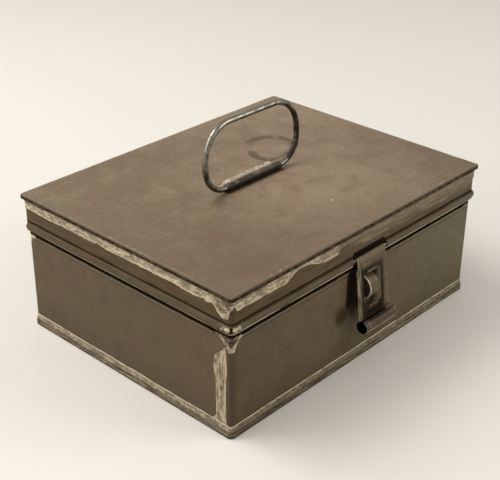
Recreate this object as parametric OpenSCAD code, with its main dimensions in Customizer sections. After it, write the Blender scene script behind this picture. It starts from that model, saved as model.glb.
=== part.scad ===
// Tinplate deed box with a hinged lid, a wire handle in a rolled clip, and a hasp over a staple.
// The box stands on z = 0, its length runs along X, and the hasp is on the front, toward -Y.

/* [Box] */
// Length of the body over its walls
body_l = 257.4; // [220:0.1:320]
// Depth of the body over its walls
body_w = 196.8; // [160:0.1:240]
// Outer radius of the upright corners
corner_r = 2.2; // [2:0.1:8]
// Height of the top edge of the body walls
neck_top = 88.5; // [86:0.1:92]
// Thickness of the tinplate
sheet = 0.5; // [0.4:0.05:0.7]
// Height of the fold along the top edge of the walls
hem_h = 3; // [2:0.5:6]

/* [Base] */
// How far the base flange stands out from the walls
flange_out = 1.3; // [0.9:0.1:2]
// Height of the base flange
flange_h = 4.4; // [3:0.1:8]
// Top of the solder run above the flange
base_solder_top = 9.2; // [7:0.1:14]

/* [Stop bead] */
// Height of the middle of the bead pressed into the walls
stop_z = 74.4; // [70:0.1:75]
// Radius of the bead
stop_r = 2; // [1.5:0.1:2.2]
// How far the bead stands out from the walls
stop_out = 0.9; // [0.5:0.05:1.2]
// Distance that the bead stops short of a corner
stop_end = 7; // [5:0.5:20]

/* [Corner seam] */
// Width of the flap that laps the left wall
flap_w = 12; // [8:0.5:20]
// Lap of the hidden tab behind a flap
tab_w = 7; // [4:0.5:10]
// Thickness of the solder on the corner seam
seam_t = 0.3; // [0.2:0.05:0.5]
// Top of the solder on the corner seam
seam_top = 66; // [40:1:70]

/* [Lid] */
// Gap between the body walls and the lid rim
lid_gap = 0.9; // [0.8:0.05:1.5]
// Height of the upper face of the lid
lid_top_z = 105.5; // [104:0.1:112]
// Height of the lower edge of the lid rim
rim_bottom = 78.2; // [77:0.1:78.6]
// How far the edge of the lid panel stands out from the rim
lip_out = 1.7; // [1.4:0.1:2.6]
// Height of the edge of the lid panel
lip_h = 3; // [2.2:0.1:5]
// Radius of the fold at the edge of the lid panel
lip_r = 1; // [0.8:0.05:1.2]
// Radius of the lid's corners, seen from above
lid_corner_r = 2.2; // [1.8:0.1:4]
// Height of the solder run under the lid edge
lid_solder_h = 6.6; // [3:0.1:10]

/* [Rim bead] */
// Height of the middle of the rim bead
bead_z = 82; // [81.6:0.1:83]
// Outer radius of the rim bead
bead_r = 2.6; // [2.4:0.1:3]
// How far the rim bead stands out from the rim
bead_out = 2; // [1.9:0.05:2.2]
// Radius of the wire inside the bead
wire_r = 0.9; // [0.7:0.05:1]
// Distance of the wire's middle outside the rim
wire_out = 0.55; // [0.5:0.05:0.6]
// Radius of the folded lower edge
edge_r = 0.6; // [0.5:0.05:0.8]

/* [Handle] */
// Length of the loop over its bends
loop_l = 97.8; // [86:0.1:120]
// Height of the loop between the middles of its wires
loop_h = 48.3; // [46:0.1:70]
// Radius of the handle wire
loop_wire_r = 2.1; // [1.6:0.05:2.6]
// Bend radius at the foot of the loop
loop_low_r = 19; // [16:0.5:21]
// Bend radius at the top of the loop
loop_high_r = 24.2; // [18:0.1:25]
// Angle by which the loop leans back
loop_lean = 2.2; // [0:0.1:10]
// Place of the middle of the handle along the lid
handle_x = -3.5; // [-20:0.5:20]
// Place of the middle of the handle across the lid
handle_y = 0; // [-20:0.5:20]
// Length of the rolled clip
clip_l = 55; // [30:1:56]
// Thickness of the clip
clip_t = 0.8; // [0.6:0.05:1]
// Width of the clip's foot behind the roll
clip_foot = 9; // [6:0.5:16]

/* [Hasp] */
// Place of the middle of the hasp along the front
hasp_x = 3.5; // [-20:0.5:20]
// Width of the hasp where it rolls round the wire
hasp_w = 30.6; // [24:0.1:40]
// Width of the hasp below the rim
plate_w = 32.6; // [26:0.1:42]
// Thickness of the hasp
hasp_t = 0.6; // [0.5:0.05:0.6]
// Gap between the wire and the roll of the hasp
pin_gap = 0.05; // [0.02:0.01:0.08]
// Distance from the wire down to the middle of the finger roll
roll_drop = 49; // [46:0.5:60]
// Outer radius of the finger roll
roll_r = 4.8; // [4:0.1:5]
// Distance of the finger roll's middle outside the rim, with the plate upright
roll_out = 4; // [3.8:0.1:4.6]
// Angle by which the hasp hangs away from the box
hasp_tilt = 7; // [7:0.5:12]
// Width of the opening in the hasp
eye_w = 19.6; // [15:0.1:22]
// Distance from the wire down to the top of the opening
eye_top_drop = 12.5; // [11:0.5:14]
// Distance from the wire down to the foot of the opening
eye_foot_drop = 37.5; // [37:0.5:40]
// Corner radius of the opening
eye_r = 3; // [1:0.5:5]
// Width of the window in the rim
window_w = 36; // [35.2:0.1:46]
// Height of the top of the window
window_top = 86.3; // [85.6:0.1:87.5]

/* [Staple] */
// Width of the staple strap
staple_w = 9; // [6:0.5:12]
// Thickness of the staple strap
staple_t = 0.8; // [0.6:0.05:1]
// Height of the middle of the staple
staple_z = 56.5; // [55:0.5:58]
// Half of the height of the staple's arch
staple_half = 9.5; // [8:0.1:10]
// How far the arch stands out from the wall
staple_out = 8.4; // [6:0.1:8.5]
// Height of each foot of the staple
staple_foot = 6; // [4:0.5:8]

/* [Hinges] */
// Distance of the middle of each hinge from the end of the body
hinge_inset = 50.7; // [30:0.1:70]
// Width of a hinge
hinge_w = 30; // [20:1:50]
// Radius of a hinge pin
hinge_pin_r = 1.4; // [1:0.05:1.6]
// Thickness of a hinge leaf
leaf_t = 0.7; // [0.5:0.05:0.8]
// Gap between a hinge pin and the knuckles
hinge_gap = 0.05; // [0.02:0.01:0.08]
// Gap between the ends of neighbouring knuckles
knuckle_gap = 0.3; // [0.2:0.05:0.5]
// Height of a hinge pin above the table
hinge_z = 77.5; // [76.5:0.1:77.6]
// Reach of the lid leaf above the pin
lid_leaf_h = 16; // [12:0.5:17]
// Reach of the body leaf below the pin
body_leaf_h = 20; // [15:0.5:30]
// Radius of a rivet
rivet_r = 1.2; // [0.8:0.1:1.5]
// Radius of a rivet head
rivet_head_r = 2.2; // [1.8:0.1:2.6]
// Height of a rivet head
rivet_head_h = 0.8; // [0.5:0.1:1.2]

/* [Hidden] */
$fn = 64;

big = 400;
seat = 0.02;
bite = 0.5;

// Sides of the box, counted anticlockwise from +X
RIGHT = 0;
BACK = 1;
LEFT = 2;
FRONT = 3;

rim_l = body_l + 2 * (lid_gap + sheet);
rim_w = body_w + 2 * (lid_gap + sheet);
rim_r = corner_r + lid_gap + sheet;
lid_l = rim_l + 2 * lip_out;
lid_w = rim_w + 2 * lip_out;
body_front = -body_w / 2;
rim_front = -rim_w / 2;
body_back = body_w / 2;
rim_back = rim_w / 2;

panel_under = lid_top_z - sheet;
rim_top = panel_under - seat;
lip_bottom = lid_top_z - lip_h;
solder_bottom = lip_bottom - lid_solder_h;

flap_end = -body_w / 2 + flap_w;

hinge_x = body_l / 2 - hinge_inset;
hinge_r = hinge_pin_r + hinge_gap + leaf_t;
rivet_reach = 0.65;
body_rivet_z = hinge_z - rivet_reach * body_leaf_h;
lid_rivet_z = hinge_z + rivet_reach * lid_leaf_h;
hinge_y = rim_back + hinge_r;
notch_top = hinge_z + hinge_r + 0.5;
leaf_clear = hinge_r + 0.3;
knuckle_w = hinge_w / 3;
leaf_step = rim_back - body_back;

hasp_in = wire_r + pin_gap;
hasp_out = hasp_in + hasp_t;
hasp_pivot_y = rim_front - wire_out;

clip_r = loop_wire_r + pin_gap + clip_t;
clip_z = lid_top_z + clip_r;

// Runs of one profile round a rounded rectangle. The profile's x is outward from the outline and
// its y is up.
module run(l, w, r, side, from = 0, to = 0) {
    odd = side % 2;
    far = (odd ? w : l) / 2;
    half = (odd ? l : w) / 2 - r;
    low = -half + from;
    high = half - to;
    rotate([0, 0, 90 * side]) translate([far, high, 0]) rotate([90, 0, 0])
        linear_extrude(height = high - low) children();
}

module bend(l, w, r, side) {
    odd = side % 2;
    ahead = (odd ? w : l) / 2 - r;
    aside = (odd ? l : w) / 2 - r;
    rotate([0, 0, 90 * side]) translate([ahead, aside, 0])
        rotate_extrude(angle = 90) translate([r, 0]) children();
}

module full_ring(l, w, r) {
    for (side = [RIGHT, BACK, LEFT, FRONT]) {
        run(l, w, r, side) children();
        bend(l, w, r, side) children();
    }
}

module rounded_plate(l, w, r, h) {
    linear_extrude(height = h) union() {
        square([l - 2 * r, w], center = true);
        square([l, w - 2 * r], center = true);
        for (x = [-1, 1], y = [-1, 1])
            translate([x * (l / 2 - r), y * (w / 2 - r)]) circle(r = r);
    }
}

// Base
module flange_profile() {
    edge = flange_out / 2;
    union() {
        translate([0, edge]) square([flange_out, flange_h - 2 * edge]);
        square([flange_out - edge, flange_h]);
        for (z = [edge, flange_h - edge]) translate([flange_out - edge, z]) circle(r = edge);
        translate([-bite, 0]) square([bite + edge, sheet]);
    }
}

module base_pan() {
    color("#4a4234") union() {
        rounded_plate(body_l, body_w, corner_r, sheet);
        full_ring(body_l, body_w, corner_r) flange_profile();
    }
}

module base_solder() {
    color("#a39882") full_ring(body_l, body_w, corner_r)
        polygon([[0, flange_h], [0.75 * flange_out, flange_h], [0.25 * flange_out, base_solder_top - 1],
            [0, base_solder_top]]);
}

// Body walls
module plain_wall_profile() {
    union() {
        translate([-sheet, sheet]) square([sheet, neck_top - sheet]);
        translate([-2 * sheet, neck_top - hem_h]) square([sheet, hem_h]);
    }
}

module stop_circle(r) {
    translate([stop_out - stop_r, stop_z]) circle(r = r);
}

module stop_hump() {
    intersection() {
        stop_circle(stop_r);
        translate([-sheet, stop_z - big / 2]) square([big, big]);
    }
}

module beaded_wall_profile() {
    difference() {
        union() {
            plain_wall_profile();
            stop_hump();
        }
        stop_circle(stop_r - sheet);
    }
}

module closed_wall_profile() {
    union() {
        plain_wall_profile();
        stop_hump();
    }
}

// A wall whose bead has shut ends; the lead is plain wall before the bead and the tail after it.
module beaded_run(side, lead, tail, from = 0, to = 0) {
    odd = side % 2;
    length = (odd ? body_l : body_w) - 2 * corner_r;
    run(body_l, body_w, corner_r, side, from, length - lead) plain_wall_profile();
    run(body_l, body_w, corner_r, side, lead, length - lead - sheet) closed_wall_profile();
    run(body_l, body_w, corner_r, side, lead + sheet, tail + sheet) beaded_wall_profile();
    run(body_l, body_w, corner_r, side, length - tail - sheet, tail) closed_wall_profile();
    run(body_l, body_w, corner_r, side, length - tail, to) plain_wall_profile();
}

// The tab of one wall sheet that laps behind the flap of the other
module lap_tab(l, w, side, end, low, high) {
    rotate([0, 0, side == LEFT ? 0 : 180])
        translate([-l / 2 + sheet, end - tab_w, low]) cube([sheet, tab_w + 3, high - low]);
}

module wall_front_right() {
    flap = flap_w - corner_r;
    color("#6d654f") union() {
        beaded_run(FRONT, stop_end, stop_end);
        bend(body_l, body_w, corner_r, FRONT) plain_wall_profile();
        bend(body_l, body_w, corner_r, LEFT) plain_wall_profile();
        beaded_run(RIGHT, stop_end, flap + stop_end, 0, flap);
        run(body_l, body_w, corner_r, LEFT, body_w - 2 * corner_r - flap, 0) plain_wall_profile();
        lap_tab(body_l, body_w, RIGHT, flap_end, sheet, neck_top - hem_h);
    }
}

module wall_back_left() {
    flap = flap_w - corner_r;
    color("#62594a") difference() {
        union() {
            run(body_l, body_w, corner_r, BACK) plain_wall_profile();
            bend(body_l, body_w, corner_r, BACK) plain_wall_profile();
            bend(body_l, body_w, corner_r, RIGHT) plain_wall_profile();
            beaded_run(LEFT, stop_end, flap + 2, 0, flap);
            run(body_l, body_w, corner_r, RIGHT, body_w - 2 * corner_r - flap, 0) plain_wall_profile();
            lap_tab(body_l, body_w, LEFT, flap_end, sheet, neck_top - hem_h);
        }
        rivet_holes(body_back, body_rivet_z);
    }
}

module corner_solder() {
    near = corner_r + 1.2;
    color("#a59a86") translate([-body_l / 2 - seam_t, body_front, 0]) rotate([90, 0, 90])
        linear_extrude(height = seam_t)
            polygon([[near, base_solder_top + seat], [flap_w + 1, base_solder_top + seat],
                [flap_w + 2, 0.4 * seam_top], [flap_w + 3, 0.78 * seam_top],
                [flap_w - 0.5, 0.94 * seam_top], [flap_w / 2 + 2, seam_top], [near, 0.98 * seam_top],
                [near - 0.3, 0.7 * seam_top]]);
}

// Staple
module staple_profile() {
    r = (staple_half * staple_half + staple_out * staple_out) / (2 * staple_out);
    union() {
        intersection() {
            translate([staple_out - r, staple_z]) difference() {
                circle(r = r);
                circle(r = r - staple_t);
            }
            translate([0, staple_z - big / 2]) square([big, big]);
        }
        translate([0, staple_z + staple_half - staple_t]) square([staple_t, staple_foot]);
        translate([0, staple_z - staple_half + staple_t - staple_foot]) square([staple_t, staple_foot]);
    }
}

module staple() {
    color("#7b715f") translate([hasp_x - staple_w / 2, body_front, 0]) rotate([90, 0, -90]) mirror([0, 0, 1])
        linear_extrude(height = staple_w) staple_profile();
}

// Lid
module lip_profile() {
    union() {
        translate([-lip_r - bite, panel_under]) square([bite, sheet]);
        translate([-sheet, lip_bottom]) square([sheet, lip_h - lip_r]);
        intersection() {
            translate([-lip_r, lid_top_z - lip_r]) difference() {
                circle(r = lip_r);
                circle(r = lip_r - sheet);
            }
            translate([-lip_r, lid_top_z - lip_r]) square([lip_r, lip_r]);
        }
    }
}

module lid_panel() {
    color("#8c7a66") union() {
        translate([0, 0, panel_under])
            rounded_plate(lid_l - 2 * lip_r, lid_w - 2 * lip_r, lid_corner_r - lip_r, sheet);
        full_ring(lid_l, lid_w, lid_corner_r) lip_profile();
    }
}

module plain_rim_profile() {
    union() {
        translate([-sheet, rim_bottom + edge_r]) square([sheet, rim_top - rim_bottom - edge_r]);
        translate([-sheet, rim_top - sheet]) square([sheet + lip_out - lip_r, sheet]);
        translate([edge_r - sheet - 0.05, rim_bottom + edge_r]) circle(r = edge_r);
    }
}

module bead_circle(r) {
    translate([bead_out - bead_r, bead_z]) circle(r = r);
}

module beaded_rim_profile() {
    difference() {
        union() {
            plain_rim_profile();
            intersection() {
                bead_circle(bead_r);
                translate([-sheet, bead_z - big / 2]) square([big, big]);
            }
        }
        bead_circle(bead_r - sheet);
    }
}

module hasp_window() {
    translate([hasp_x - window_w / 2, rim_front - 2 * bead_out, rim_bottom - 1])
        cube([window_w, 4 * bead_out, window_top - rim_bottom + 1]);
}

module rivet_holes(y, z) {
    for (side = [-1, 1], x = [-1, 1])
        translate([side * hinge_x + x * hinge_w / 4, y, z]) rotate([90, 0, 0])
            cylinder(h = 4 * hinge_r, r = rivet_r + seat, center = true);
}

module lid_rim_front_right() {
    flap = flap_w - rim_r;
    color("#5a5144") difference() {
        union() {
            run(rim_l, rim_w, rim_r, FRONT) beaded_rim_profile();
            bend(rim_l, rim_w, rim_r, FRONT) beaded_rim_profile();
            bend(rim_l, rim_w, rim_r, LEFT) beaded_rim_profile();
            run(rim_l, rim_w, rim_r, RIGHT, 0, flap) beaded_rim_profile();
            run(rim_l, rim_w, rim_r, LEFT, rim_w - 2 * rim_r - flap, 0) beaded_rim_profile();
        }
        hasp_window();
    }
}

module lid_rim_back_left() {
    flap = flap_w - rim_r;
    color("#544c40") difference() {
        union() {
            run(rim_l, rim_w, rim_r, BACK) plain_rim_profile();
            bend(rim_l, rim_w, rim_r, BACK) plain_rim_profile();
            bend(rim_l, rim_w, rim_r, RIGHT) plain_rim_profile();
            run(rim_l, rim_w, rim_r, LEFT, 0, flap) beaded_rim_profile();
            run(rim_l, rim_w, rim_r, RIGHT, rim_w - 2 * rim_r - flap, 0) beaded_rim_profile();
        }
        for (side = [-1, 1])
            translate([side * hinge_x - hinge_w / 2 - 0.5, rim_back - 2, rim_bottom - 1])
                cube([hinge_w + 1, 5, notch_top - rim_bottom + 1]);
        rivet_holes(rim_back, lid_rivet_z);
    }
}

module rim_wire() {
    color("#8a877f") for (side = [LEFT, FRONT, RIGHT]) {
        run(rim_l, rim_w, rim_r, side) wire_profile();
        if (side != RIGHT) bend(rim_l, rim_w, rim_r, side) wire_profile();
    }
}

module wire_profile() {
    translate([wire_out, bead_z]) circle(r = wire_r);
}

module lid_solder() {
    color("#a89d88") full_ring(rim_l, rim_w, rim_r)
        polygon([[0, solder_bottom], [0.15, solder_bottom], [0.3 * lip_out, lip_bottom - 1.2],
            [0.7 * lip_out, lip_bottom - seat], [0, lip_bottom - seat]]);
}

// Handle
module handle_clip() {
    color("#6f6552") translate([handle_x - clip_l / 2, handle_y, lid_top_z]) rotate([90, 0, 90])
        linear_extrude(height = clip_l) difference() {
            union() {
                translate([0, clip_r]) circle(r = clip_r);
                square([clip_foot, clip_t]);
            }
            translate([0, clip_r]) circle(r = loop_wire_r + pin_gap);
        }
}

module wire_bend(x, z, r, start) {
    translate([x, 0, z]) rotate([90, 0, 0]) rotate_extrude(angle = 90, start = start)
        translate([r, 0]) circle(r = loop_wire_r);
}

module wire_rod(from, length, direction) {
    translate(from) rotate(direction) cylinder(h = length, r = loop_wire_r);
}

module handle() {
    half = loop_l / 2 - loop_wire_r;
    low = half - loop_low_r;
    high = half - loop_high_r;
    color("#77776f") translate([handle_x, handle_y, clip_z]) rotate([-loop_lean, 0, 0]) union() {
        wire_rod([-low, 0, 0], 2 * low, [0, 90, 0]);
        wire_rod([-high, 0, loop_h], 2 * high, [0, 90, 0]);
        for (side = [-1, 1])
            wire_rod([side * half, 0, loop_low_r], loop_h - loop_low_r - loop_high_r, [0, 0, 0]);
        wire_bend(low, loop_low_r, loop_low_r, 270);
        wire_bend(-low, loop_low_r, loop_low_r, 180);
        wire_bend(high, loop_h - loop_high_r, loop_high_r, 0);
        wire_bend(-high, loop_h - loop_high_r, loop_high_r, 90);
    }
}

// Hasp, drawn round the wire's middle: x is outward from the wire and y is up.
module hasp_section() {
    roll_x = roll_out - wire_out;
    union() {
        difference() {
            circle(r = hasp_out);
            circle(r = hasp_in);
        }
        difference() {
            translate([hasp_in, -roll_drop]) square([hasp_t, roll_drop]);
            translate([roll_x, -roll_drop]) circle(r = roll_r - hasp_t / 2);
        }
        difference() {
            translate([roll_x, -roll_drop]) circle(r = roll_r);
            translate([roll_x, -roll_drop]) circle(r = roll_r - hasp_t);
            translate([roll_x, -roll_drop]) rotate([0, 0, 72]) square([2 * roll_r, 0.45 * roll_r]);
        }
    }
}

module hasp_face() {
    shoulder = -6;
    foot = -roll_drop - 2 * roll_r;
    polygon([[-hasp_w / 2, hasp_out + 1], [-hasp_w / 2, shoulder], [-plate_w / 2, shoulder - 2],
        [-plate_w / 2, foot], [plate_w / 2, foot], [plate_w / 2, shoulder - 2], [hasp_w / 2, shoulder],
        [hasp_w / 2, hasp_out + 1]]);
}

module hasp_eye() {
    tall = eye_foot_drop - eye_top_drop;
    translate([0, -(eye_top_drop + eye_foot_drop) / 2]) union() {
        square([eye_w - 2 * eye_r, tall], center = true);
        square([eye_w, tall - 2 * eye_r], center = true);
        for (x = [-1, 1], y = [-1, 1])
            translate([x * (eye_w / 2 - eye_r), y * (tall / 2 - eye_r)]) circle(r = eye_r);
    }
}

module hasp() {
    color("#7d7360") translate([hasp_x, hasp_pivot_y, bead_z]) rotate([-hasp_tilt, 0, 0])
        difference() {
            intersection() {
                translate([-plate_w / 2, 0, 0]) rotate([90, 0, -90]) mirror([0, 0, 1])
                    linear_extrude(height = plate_w) hasp_section();
                translate([0, 5, 0]) rotate([90, 0, 0]) linear_extrude(height = 30) hasp_face();
            }
            translate([0, 5, 0]) rotate([90, 0, 0]) linear_extrude(height = 12) hasp_eye();
        }
}

// Hinges, drawn round the pin's middle: x is outward from the box and y is up.
module knuckle_profile() {
    difference() {
        circle(r = hinge_r);
        circle(r = hinge_pin_r + hinge_gap);
    }
}

module lid_leaf_profile(reach) {
    union() {
        knuckle_profile();
        translate([-hinge_r, 0]) difference() {
            square([leaf_t, reach]);
            translate([hinge_r, 0]) circle(r = hinge_pin_r + hinge_gap);
        }
    }
}

module body_leaf_profile(reach) {
    back = -hinge_r - leaf_step;
    union() {
        knuckle_profile();
        translate([-hinge_r, -leaf_clear - 1]) difference() {
            square([leaf_t, leaf_clear + 1]);
            translate([hinge_r, leaf_clear + 1]) circle(r = hinge_pin_r + hinge_gap);
        }
    }
    body_leaf_plate(reach, back);
}

module body_leaf_plate(reach, back) {
    polygon([[-hinge_r, -leaf_clear], [-hinge_r + leaf_t, -leaf_clear], [-hinge_r + leaf_t, -leaf_clear - 1],
        [back + leaf_t, -leaf_clear - 3], [back + leaf_t, -reach], [back, -reach],
        [back, -leaf_clear - 3], [-hinge_r, -leaf_clear - 1]]);
}

module across(x, width) {
    translate([x - width / 2, hinge_y, hinge_z]) rotate([90, 0, 90])
        linear_extrude(height = width) children();
}

module lid_hinge_leaf(side) {
    middle = knuckle_w - 2 * knuckle_gap;
    color("#5d5446") difference() {
        union() {
            across(side * hinge_x, middle) lid_leaf_profile(leaf_clear + 1);
            across(side * hinge_x, hinge_w)
                translate([-hinge_r, leaf_clear]) square([leaf_t, lid_leaf_h - leaf_clear]);
        }
        rivet_holes(rim_back, lid_rivet_z);
    }
}

module body_hinge_leaf(side) {
    color("#5d5446") difference() {
        union() {
            for (end = [-1, 1])
                across(side * hinge_x + end * knuckle_w, knuckle_w) body_leaf_profile(body_leaf_h);
            across(side * hinge_x, hinge_w) body_leaf_plate(body_leaf_h, -hinge_r - leaf_step);
        }
        rivet_holes(body_back, body_rivet_z);
    }
}

module hinge_pin(side) {
    color("#8a877f") translate([side * hinge_x - hinge_w / 2 - 0.6, hinge_y, hinge_z]) rotate([0, 90, 0])
        cylinder(h = hinge_w + 1.2, r = hinge_pin_r);
}

module rivets(wall, z) {
    color("#6a6355") for (side = [-1, 1], x = [-1, 1])
        translate([side * hinge_x + x * hinge_w / 4, wall, z]) rotate([-90, 0, 0]) union() {
            translate([0, 0, -sheet - 0.4]) cylinder(h = 0.4, r = rivet_head_r);
            translate([0, 0, -sheet - 0.2]) cylinder(h = sheet + leaf_t + 0.4, r = rivet_r);
            translate([0, 0, leaf_t]) cylinder(h = rivet_head_h, r1 = rivet_head_r, r2 = 0.5 * rivet_head_r);
        }
}

base_pan();
wall_front_right();
wall_back_left();
base_solder();
corner_solder();
staple();
body_hinge_leaf(-1);  // body_hinge_leaf_left
body_hinge_leaf(1);  // body_hinge_leaf_right
hinge_pin(-1);  // hinge_pin_left
hinge_pin(1);  // hinge_pin_right
rivets(body_back, body_rivet_z);  // body_hinge_rivets
lid_panel();
lid_rim_front_right();
lid_rim_back_left();
rim_wire();
lid_solder();
lid_hinge_leaf(-1);  // lid_hinge_leaf_left
lid_hinge_leaf(1);  // lid_hinge_leaf_right
rivets(rim_back, lid_rivet_z);  // lid_hinge_rivets
handle_clip();
handle();
hasp();
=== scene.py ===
"""Finish, solder and lighting of a tinplate deed box, laid out as an add-on and run as a script."""

import math
from functools import cache

import bmesh
import bpy
from mathutils import Matrix, Vector


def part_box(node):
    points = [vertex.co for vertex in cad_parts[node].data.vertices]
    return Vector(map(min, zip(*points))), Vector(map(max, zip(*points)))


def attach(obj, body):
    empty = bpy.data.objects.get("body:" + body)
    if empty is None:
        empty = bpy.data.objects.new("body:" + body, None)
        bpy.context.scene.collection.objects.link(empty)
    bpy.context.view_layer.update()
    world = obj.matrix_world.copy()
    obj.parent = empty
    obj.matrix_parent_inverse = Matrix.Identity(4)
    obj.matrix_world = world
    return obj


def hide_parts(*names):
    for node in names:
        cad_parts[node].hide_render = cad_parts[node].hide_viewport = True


bl_info = {
    "name": "Tinplate Deed Box",
    "version": (1, 0, 0),
    "blender": (4, 5, 0),
    "location": "3D View > Sidebar > Deed Box",
    "description": "Dresses a tinplate deed box with worn lacquer, soft solder and bare wire",
    "category": "Object",
}

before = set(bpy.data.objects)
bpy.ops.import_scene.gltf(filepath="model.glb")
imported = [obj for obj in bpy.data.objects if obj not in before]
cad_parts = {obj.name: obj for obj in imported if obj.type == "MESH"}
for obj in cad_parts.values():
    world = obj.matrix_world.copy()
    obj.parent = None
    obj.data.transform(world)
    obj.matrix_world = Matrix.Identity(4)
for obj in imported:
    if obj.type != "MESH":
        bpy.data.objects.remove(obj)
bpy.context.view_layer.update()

MM = 0.001
LENS = 79.37
CAMERA_AT = (-0.5262, -0.4799, 0.4395)
CAMERA_YAW = 47.296
CAMERA_PITCH = 28.327
CAMERA_ROLL = 0.5

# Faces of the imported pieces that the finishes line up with, in metres
WALL_LOW, WALL_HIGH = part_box("wall_front_right")
_, BACK_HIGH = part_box("wall_back_left")
PAN_LOW, PAN_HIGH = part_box("base_pan")
PANEL_LOW, PANEL_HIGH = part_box("lid_panel")
RIM_LOW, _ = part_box("lid_rim_front_right")
BASE_RUN_LOW, BASE_RUN_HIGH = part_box("base_solder")
LID_RUN_LOW, LID_RUN_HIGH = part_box("lid_solder")
SEAM_LOW, SEAM_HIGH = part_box("corner_solder")
CLIP_LOW, CLIP_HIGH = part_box("handle_clip")
HASP_LOW, HASP_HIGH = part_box("hasp")
STAPLE_LOW, STAPLE_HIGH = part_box("staple")
# Outlines of the flat wall and rim sheets that the solder lies on: length and width
BODY_OUTLINE = (2 * -SEAM_HIGH.x, 2 * BACK_HIGH.y)
RIM_OUTLINE = (BODY_OUTLINE[0] + 2.8 * MM, BODY_OUTLINE[1] + 2.8 * MM)
LEFT_FACE = -BODY_OUTLINE[0] / 2
FRONT_FACE = -BODY_OUTLINE[1] / 2


def srgb(red, green, blue):
    """A colour from 0 to 255 per channel, as Blender's linear values."""

    def linear(value):
        part = value / 255
        return part / 12.92 if part <= 0.04045 else ((part + 0.055) / 1.055) ** 2.4

    return (linear(red), linear(green), linear(blue))


def colour(name, description, value):
    """A colour property with its default."""
    return bpy.props.FloatVectorProperty(
        name=name, description=description, default=value, subtype="COLOR", size=3, min=0, max=1
    )


def number(name, description, value, **limits):
    """A number property with its default."""
    return bpy.props.FloatProperty(name=name, description=description, default=value, **limits)


def length(name, description, value):
    """A length property with its default in metres."""
    return number(name, description, value, unit="LENGTH", precision=5, min=0)


class BoxFinish(bpy.types.PropertyGroup):
    """Colours of the box."""

    wall: colour("Wall lacquer", "Brown lacquer on the walls", srgb(90, 73, 49))
    # Stained lacquer, also laid as painted shade at the wall's foot and on the base's front
    wall_dark_and_shade: colour("Dark lacquer", "Stained lacquer on the walls", srgb(56, 44, 29))
    wall_olive: colour("Olive lacquer", "Thin lacquer with an olive cast", srgb(88, 78, 54))
    # Pale lacquer, also laid as a painted highlight on the stop bead, the rim's bead, the hasp's upper roll
    # and the front face's right end
    wall_pale_and_highlight: colour("Pale lacquer", "Lacquer rubbed thin over a bead", srgb(124, 112, 84))
    # Grime, also used as painted shade in creases, gaps and under parts
    grime_and_shade: colour("Grime", "Dirt in creases and gaps", srgb(20, 15, 9))
    lid: colour("Lid lacquer", "Rubbed lacquer on the lid", srgb(127, 108, 84))
    lid_olive: colour("Olive lid lacquer", "Lid lacquer with an olive cast", srgb(122, 108, 82))
    # Pale lid lacquer, also laid as the painted sheen in the lid's middle and toward its back
    lid_pale_and_sheen: colour("Pale lid lacquer", "Lid lacquer rubbed thin in the middle", srgb(176, 152, 126))
    lid_red: colour("Red lid lacquer", "Reddish lacquer near the front corner", srgb(118, 92, 74))
    rim: colour("Rim lacquer", "Dark lacquer on the lid rim", srgb(84, 65, 37))
    solder: colour("Solder", "Dull soft solder", srgb(150, 136, 110))
    # Bright solder, also laid as painted highlights along the solder's free edge, the staple's edge and the
    # finger roll
    solder_pale_and_highlight: colour("Bright solder", "Rubbed soft solder", srgb(212, 198, 169))
    solder_dark: colour("Solder pits", "Dark pits and flux in the solder", srgb(74, 57, 36))
    tin: colour("Bare tin", "Tinplate where the lacquer has worn off", srgb(196, 184, 156))
    wire: colour("Wire", "Rubbed iron wire", srgb(164, 160, 147))
    # Oxide, also laid as painted shade on the wire's underside and lower part
    wire_oxide_and_shade: colour("Dark wire", "Oxide on the iron wire", srgb(48, 43, 35))
    rust: colour("Rust", "Rust in creases", srgb(84, 60, 42))


class SolderSize(bpy.types.PropertyGroup):
    """Sizes of the solder runs."""

    lump: length("Lump height", "Height of the lumps in a run", 0.00035)
    step: length("Step", "Distance between the points of a run", 0.0009)
    skin: length("Skin", "Thickness of a run at its free edge", 0.00018)
    waist_x: number("Waist", "Place along the front where the lid run is thin", -0.067, unit="LENGTH")
    front_end_x: number("Front end", "Place along the front where the wide run ends", -0.0285, unit="LENGTH")
    drip: length("Drip", "Drop of the blob on the rim's front corner", 0.0065)


class StageLook(bpy.types.PropertyGroup):
    """Floor and light."""

    floor: colour("Floor", "Pale floor and backdrop", srgb(245, 240, 230))
    key: number("Key light", "Soft light from above, in watts", 15.0)
    fill: number("Side light", "Soft light from the left, in watts", 4.0)
    front: number("Front light", "Soft light from the right, in watts", 7.0)
    sky: number("Sky", "Strength of the even light", 0.4)


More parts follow.
